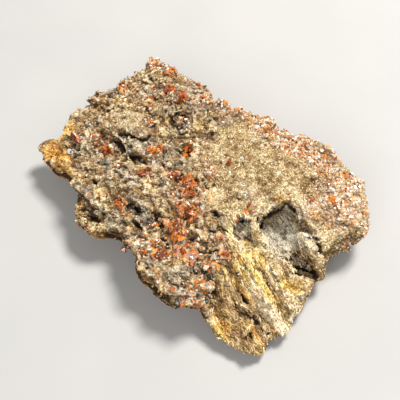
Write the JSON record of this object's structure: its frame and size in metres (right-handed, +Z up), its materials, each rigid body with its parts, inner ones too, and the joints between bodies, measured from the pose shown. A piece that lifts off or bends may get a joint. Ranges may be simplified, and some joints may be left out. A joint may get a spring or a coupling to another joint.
{
  "type": "wulfenite on matrix",
  "caption": "Loose slab of porous rusty rock set with orange wulfenite plates and drusy crusts around an open hollow; lies on its flat underside as a mineral specimen.",
  "frame": {"origin": "centre of the bounding box in plan, at the level of the surface that the stone rests on", "axes": "+X along the slab's length, +Y across it, +Z up from the surface that it rests on"},
  "size_m": [0.0994, 0.0678, 0.0229],
  "materials": {
    "matrix": "rough, sugary, rusty rock",
    "wulfenite": "glassy orange to red crystal",
    "quartz": "clear colourless crystal",
    "grey_druse": "sugary grey-brown crust"
  },
  "bodies": {
    "root": {"hollow_druse": "grey_druse", "matrix": "matrix", "quartz_left": "quartz", "quartz_nose": "quartz", "quartz_plateau": "quartz", "quartz_right": "quartz", "wulfenite_cluster_boss": "wulfenite", "wulfenite_cluster_boss_crack": "wulfenite", "wulfenite_cluster_corner": "wulfenite", "wulfenite_cluster_corner_edge": "wulfenite", "wulfenite_cluster_far_notch": "wulfenite", "wulfenite_cluster_hollow_edge": "wulfenite", "wulfenite_cluster_ledge": "wulfenite", "wulfenite_cluster_left_crack": "wulfenite", "wulfenite_cluster_left_end": "wulfenite", "wulfenite_cluster_middle": "wulfenite", "wulfenite_cluster_middle_near": "wulfenite", "wulfenite_cluster_near": "wulfenite", "wulfenite_cluster_nose": "wulfenite", "wulfenite_cluster_nose_left": "wulfenite", "wulfenite_cluster_nose_tip": "wulfenite", "wulfenite_cluster_plateau_edge": "wulfenite", "wulfenite_cluster_right_end": "wulfenite", "wulfenite_cluster_slope": "wulfenite", "wulfenite_cluster_slope_edge": "wulfenite", "wulfenite_cluster_trough": "wulfenite", "wulfenite_druse_far_left": "wulfenite", "wulfenite_druse_far_right": "wulfenite", "wulfenite_druse_right_end": "wulfenite", "wulfenite_plate_corner": "wulfenite", "wulfenite_plate_crack": "wulfenite", "wulfenite_plate_far": "wulfenite", "wulfenite_plate_hollow": "wulfenite", "wulfenite_plate_largest": "wulfenite", "wulfenite_plate_left": "wulfenite", "wulfenite_plate_middle_left": "wulfenite", "wulfenite_plate_pale": "wulfenite", "wulfenite_plate_pit": "wulfenite", "wulfenite_plate_plateau": "wulfenite", "wulfenite_plate_second": "wulfenite", "wulfenite_plate_slope": "wulfenite", "wulfenite_plate_third": "wulfenite"}
  },
  "joints": []
}
